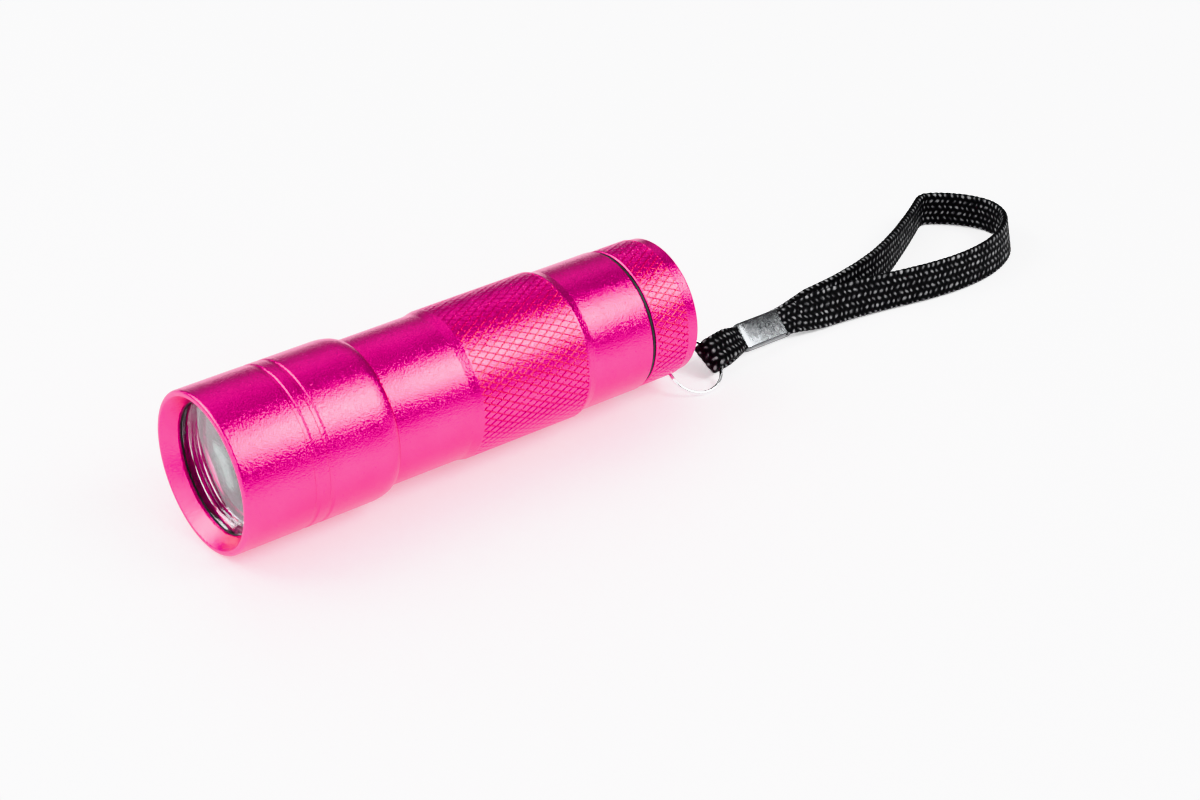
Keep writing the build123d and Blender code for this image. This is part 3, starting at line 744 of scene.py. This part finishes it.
TAB, CLIP, RING = strap_tab(), crimp_clip(), lanyard_ring()


# ---- head ----
FIT = 0.05
BEVEL_END, WINDOW_R, HEAD_BORE_R, BORE_STEP = 2.4, 11.3, 12.45, 18.1
GROOVES = (13.2, 15.9)


def head_shell():
    """Rounded rim, wide bevel down to the window, two fine grooves, and a rounded shoulder."""
    rim = 0.6
    outside = arc((rim, HEAD_R - rim), rim, 180, 90, 6)
    groove_r = HEAD_R - 0.17
    for at in GROOVES:
        outside += eased([(at - 1.0, HEAD_R), (at - 0.5, HEAD_R), (at - 0.38, groove_r),
                          (at + 0.30, groove_r), (at + 0.52, HEAD_R), (at + 1.0, HEAD_R)], 0.07)
    shoulder = 3.6
    drop = HEAD_R - 12.85
    for i in range(11):
        a = radians(90 * i / 10)
        outside.append((HEAD_END - shoulder + shoulder * sin(a) * 0.985, HEAD_R - drop * (1 - cos(a))))
    seat_r = OPTICS_R + FIT
    inside = eased([outside[-1], (HEAD_END, 12.75), (HEAD_END, HEAD_BORE_R), (BORE_STEP, HEAD_BORE_R),
                    (BORE_STEP, seat_r), (GASKET_START, seat_r), (GASKET_START, WINDOW_R),
                    (BEVEL_END, WINDOW_R), (0.0, HEAD_R - 0.95), (0.0, HEAD_R - rim)], 0.12)
    mesh = turned_mesh(outside + inside[1:-1], 384)
    return make_piece("head_casing", *mesh, "anodised_aluminium", "head", "head_shell")


def window():
    outline = eased([(LENS_START, 0.0), (LENS_START, LENS_R), (LENS_END, LENS_R), (LENS_END, 0.0)], 0.25)
    return make_piece("window", *turned_mesh(outline, 256, closed=False), "clear_acrylic", "head", "lens")


LIGHT_R, FLANGE_R, INNER_CIRCLE = 2.5, 2.8, 3.268
CUP_DEPTH, CUP_PLATE_T = 1.6, 1.6


def led_places():
    """(y, z) of each light's middle: nine round the edge and three inside."""
    outer = in_mm(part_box("uv_leds")[1].z - AXIS_Z) - FLANGE_R
    places = [(outer, 90 + 40 * i) for i in range(9)] + [(INNER_CIRCLE, 110 + 120 * i) for i in range(3)]
    return [(circle * cos(radians(a)), circle * sin(radians(a))) for circle, a in places]


def reflector():
    """A silvered cup plate: a flared cup round each light, inside a bright skirt."""
    start, end, radius = node_span("reflector")
    plate = LENS_END + CUP_DEPTH
    back = plate + CUP_PLATE_T
    seat, ledge = LENS_R + FIT, LENS_R - 0.4
    skirt = eased([(start, radius), (start, seat), (LENS_END, seat), (LENS_END, ledge),
                   (plate - 0.1, ledge - 1.7), (plate, 0.0)], 0.1)
    skirt += eased([(back, 0.0), (back, radius - 0.5), (end, radius - 0.5), (end, radius)], 0.1)
    piece = make_piece("cup_plate", *turned_mesh(skirt, 256), "silvered_plastic", "head", "reflector")
    cups = []
    for y, z in led_places():
        flare = [(plate - CUP_DEPTH, 0.0), (plate - CUP_DEPTH, 3.0), (plate - 0.4, 2.87)]
        flare += [(plate + CUP_PLATE_T * t, 2.83 - 0.2 * sqrt(t)) for t in (0, 0.1, 0.25, 0.5, 0.75, 1.0)]
        flare += [(back + 1.0, 2.62), (back + 1.0, 0.0)]
        cups.append(turned_mesh(flare, 64, closed=False, centre=(y, z)))
    tool = make_piece("cup_tool", *joined(*cups), "silvered_plastic", "head")
    cut_away(piece, tool)
    return piece


def lights():
    """Clear epoxy lights with a round nose and a flange, each round its own silvered die cup."""
    start, end, _ = node_span("uv_leds")
    bodies, frames = [], []
    for y, z in led_places():
        body = [(start + LIGHT_R * (1 - cos(radians(a))), LIGHT_R * sin(radians(a))) for a in range(0, 91, 9)]
        body += [(end - 1.0, LIGHT_R), (end - 1.0, FLANGE_R - 0.08), (end - 0.92, FLANGE_R),
                 (end - 0.08, FLANGE_R), (end, FLANGE_R - 0.08), (end, 0.0)]
        bodies.append(turned_mesh(body, 48, closed=False, centre=(y, z)))
        cup = [(start + 3.4, 0.0), (start + 3.4, 0.32), (start + 2.95, 0.75), (start + 2.95, 0.9),
               (start + 3.9, 0.9), (start + 4.1, 0.6), (end - 0.4, 0.6), (end - 0.4, 0.0)]
        frames.append(turned_mesh(cup, 24, closed=False, centre=(y, z)))
        post = [(start + 2.7, 0.0), (start + 2.7, 0.22), (end - 0.4, 0.22), (end - 0.4, 0.0)]
        frames.append(turned_mesh(post, 12, closed=False, centre=(y + 1.35, z)))
    make_piece("light_bodies", *joined(*bodies), "clear_epoxy", "head", "uv_leds")
    make_piece("die_cups", *joined(*frames), "tinned_wire", "head")


def gasket():
    start, end, radius = node_span("lens_gasket")
    outline = eased([(start, radius), (start, WINDOW_R), (end, WINDOW_R), (end, radius)], 0.2, closed=True)
    return make_piece("window_gasket", *turned_mesh(outline, 192), "black_rubber", "head", "lens_gasket")


# ---- barrel ----
WAIST_R, REAR_WAIST_R = 12.73, 12.58
GRIP_START, GRIP_END, GRIP_STEP = 45.6, 67.6, 1.6
TUBE_BORE_R, TUBE_LIP_R = 11.4, 10.4
NECK_ROOT_R, NECK_CREST_R = 12.1, 12.4
CAP_SEAT_R, CAP_SEAT_START = 11.8, 75.2  # where the tail cap's thread goes in
THREAD_HEIGHT = 0.3


def thread_stations(start, end):
    return [start + i * THREAD_PITCH / STEPS for i in range(int((end - start) * STEPS / THREAD_PITCH) + 1)]


def body_tube():
    rows = knurl_rows(GRIP_START + 0.25, GRIP_END - 0.1)
    thread = thread_stations(TUBE_START + 0.9, TUBE_START + 6.9)
    neck_end = HEAD_END + 0.05
    outline = eased([(TUBE_START + 1.0, TUBE_LIP_R), (TUBE_START, TUBE_LIP_R), (TUBE_START, NECK_ROOT_R),
                     (TUBE_START + 0.8, NECK_ROOT_R)], 0.15)
    thread_first = len(outline)
    outline += [(s, NECK_ROOT_R) for s in thread]
    thread_last = len(outline) - 1
    seal = HEAD_END - 1.8
    outline += eased([(thread[-1] + 0.1, NECK_ROOT_R), (seal - 0.6, NECK_ROOT_R), (seal - 0.6, NECK_CREST_R),
                      (seal, NECK_CREST_R), (seal, NECK_ROOT_R - 0.1), (seal + 1.0, NECK_ROOT_R - 0.1),
                      (seal + 1.0, NECK_CREST_R), (neck_end, NECK_CREST_R), (neck_end, WAIST_R),
                      (GRIP_START - GRIP_STEP, WAIST_R), (GRIP_START - 0.12, GRIP_R - 0.04),
                      (GRIP_START + 0.02, GRIP_R), (GRIP_START + 0.2, GRIP_R)], 0.08)
    knurl_first = len(outline)
    outline += [(s, GRIP_R) for s in rows]
    knurl_last = len(outline) - 1
    outline += eased([(rows[-1] + 0.05, GRIP_R), (GRIP_END + 0.05, GRIP_R), (GRIP_END + 0.12, GRIP_R - 0.14),
                      (GRIP_END + GRIP_STEP, REAR_WAIST_R), (TUBE_END - 0.15, REAR_WAIST_R),
                      (TUBE_END, REAR_WAIST_R - 0.15), (TUBE_END, CAP_SEAT_R), (CAP_SEAT_START, CAP_SEAT_R),
                      (CAP_SEAT_START, TUBE_BORE_R), (TUBE_START + 1.2, TUBE_BORE_R),
                      (TUBE_START + 1.2, TUBE_LIP_R + 0.1), (TUBE_START + 1.1, TUBE_LIP_R)], 0.08)
    return ridged_piece("barrel_tube", outline, 60 * STEPS, (knurl_first, knurl_last),
                        (thread_first, thread_last), "anodised_aluminium", "barrel", "body_tube")


# ---- tail ----
CAP_FACE, CAP_BAND_R, CAP_RECESS_R, CAP_BORE_R = 82.1, 12.1, 10.25, 10.7
CAP_ROOT_R, CAP_CREST_R = 11.4, 11.7
WEB_OPENING_R = 6.3


def tail_cap():
    """Knurled cap with a plain band, a recess for the button, and a thread in front."""
    rows = knurl_rows(CAP_FACE + 0.3, LENGTH - 2.5)
    thread = thread_stations(CAP_START + 0.4, CAP_FACE - 1.1)
    web_end = LENGTH - 4.9
    web_start = web_end - 1.6
    outline = eased([(CAP_START + 0.3, CAP_BORE_R), (CAP_START, CAP_BORE_R + 0.05), (CAP_START, CAP_ROOT_R),
                     (CAP_START + 0.3, CAP_ROOT_R)], 0.08)
    thread_first = len(outline)
    outline += [(s, CAP_ROOT_R) for s in thread]
    thread_last = len(outline) - 1
    outline += eased([(CAP_FACE - 1.0, CAP_ROOT_R), (CAP_FACE - 0.9, CAP_CREST_R), (CAP_FACE, CAP_CREST_R),
                      (CAP_FACE, CAP_R - 0.18), (CAP_FACE + 0.18, CAP_R), (CAP_FACE + 0.26, CAP_R)], 0.06)
    knurl_first = len(outline)
    outline += [(s, CAP_R) for s in rows]
    knurl_last = len(outline) - 1
    outline += eased([(rows[-1] + 0.05, CAP_R), (LENGTH - 2.42, CAP_R), (LENGTH - 2.2, CAP_BAND_R + 0.02),
                      (LENGTH - 0.4, CAP_BAND_R), (LENGTH, CAP_BAND_R - 0.35), (LENGTH, CAP_RECESS_R + 0.25),
                      (LENGTH - 0.25, CAP_RECESS_R), (web_end, CAP_RECESS_R), (web_end, WEB_OPENING_R),
                      (web_start, WEB_OPENING_R), (web_start, CAP_BORE_R),
                      (CAP_START + 0.4, CAP_BORE_R)], 0.1)
    cap = ridged_piece("tail_casing", outline, 58 * STEPS, (knurl_first, knurl_last),
                       (thread_first, thread_last), "anodised_aluminium", "tail", "tail_cap")
    cut_away(cap, lanyard_hole())
    return cap


def lanyard_hole():
    """A drill's shape through the rim, widened at both faces as a countersink leaves it."""
    angle, middle = radians(-122.0), (CAP_RECESS_R + CAP_BAND_R) / 2
    out = Vector((0.0, cos(angle), sin(angle)))
    side = out.cross(ALONG)
    profile = [(-1.6, 1.75), (-0.75, 1.28), (0.75, 1.28), (1.6, 1.75)]
    points, sides = [], 40
    base = Vector(to_row(LENGTH - 1.9, middle * cos(angle), middle * sin(angle)))
    for depth, radius in profile:
        for k in range(sides):
            a = 2 * pi * k / sides
            points.append(base + MM * (out * depth + ALONG * radius * cos(a) + side * radius * sin(a)))
    faces = swept_faces(len(profile), sides) + end_faces(len(profile), sides)
    return make_piece("drill", points, faces, "anodised_aluminium", "tail")


BUTTON_R = 6.0


def push_button():
    """Rubber button with a dished top."""
    start, end, flange = node_span("button")
    outline = [(end - 0.35, 0.0)]
    outline += [(end - 0.35 + 0.3 * smooth(r / 4.4), r) for r in (0.8, 1.6, 2.4, 3.2, 4.0)]
    outline += arc((end - 1.2, 4.75), 1.15, 75, 15, 8)
    outline += [(start + 1.3, BUTTON_R - 0.03), (start + 0.95, BUTTON_R)]
    outline += eased([(start + 0.9, BUTTON_R), (start + 0.9, flange), (start, flange), (start, 0.0)], 0.15)
    mesh = turned_mesh(outline, 160, closed=False)
    return make_piece("button_dome", *mesh, "black_rubber", "button", "button")


def seal_ring(name, node, body):
    """A round rubber ring where the CAD piece has a square one."""
    start, end, outer = node_span(node)
    thick = (end - start) / 2
    outline = arc(((start + end) / 2, outer - thick), thick, 0, 345, 22)
    return make_piece(name, *turned_mesh(outline, 256), "black_rubber", body, node)


head_shell()
window()
reflector()
lights()
gasket()
body_tube()
tail_cap()
push_button()
seal_ring("neck_o_ring", "neck_seal", "neck_seal")


# ---- studio ----
def make_floor():
    """A pale table lit from below round the middle, so that shadows stay light."""
    mesh = bpy.data.meshes.new("floor")
    mesh.from_pydata([(-3, -3, 0), (3, -3, 0), (3, 3, 0), (-3, 3, 0)], [], [(0, 1, 2, 3)])
    floor = bpy.data.objects.new("floor", mesh)
    bpy.context.scene.collection.objects.link(floor)
    finish = Finish("pale_floor", Base_Color=(0.86, 0.86, 0.865, 1), Roughness=0.5, Specular_IOR_Level=0.2,
                    Emission_Strength=0.42)
    reach = finish.node("ShaderNodeVectorMath", {"operation": "LENGTH"}, {0: finish.place()}, output="Value")
    glow = finish.ramp(reach, (0.27, (1.0, 1.0, 1.0)), (0.5, (0.0, 0.0, 0.0)))
    mesh.materials.append(finish.paint(Emission_Color=glow).material)


def make_light(name, azimuth, elevation, distance, size, power):
    """A soft panel aimed at the lamp, in metres and watts."""
    data = bpy.data.lights.new(name, "AREA")
    data.shape, data.size, data.size_y = "RECTANGLE", *size
    data.energy = power
    lamp = bpy.data.objects.new(name, data)
    a, e = radians(azimuth), radians(elevation)
    place = Vector((cos(a) * cos(e), sin(a) * cos(e), sin(e))) * distance
    lamp.location = place
    lamp.rotation_euler = (-place).to_track_quat("-Z", "Y").to_euler()
    bpy.context.scene.collection.objects.link(lamp)


def make_world(level):
    world = bpy.data.worlds.new("studio")
    world.use_nodes = True
    world.node_tree.nodes["Background"].inputs["Color"].default_value = (*[level] * 3, 1)
    bpy.context.scene.world = world


make_floor()
make_world(0.30)
make_light("soft_box", -51, 44, 1.0, (0.50, 0.42), 10.5)
make_light("top_panel", 90, 72, 1.3, (0.8, 0.8), 1.6)
make_light("back_panel", 55, 40, 1.3, (0.9, 0.4), 1.2)
make_light("front_panel", 195, 30, 0.8, (0.7, 0.6), 3.8)
make_light("far_panel", 138, 42, 0.8, (0.5, 0.4), 7.0)
bpy.context.scene.view_settings.view_transform = "Khronos PBR Neutral"
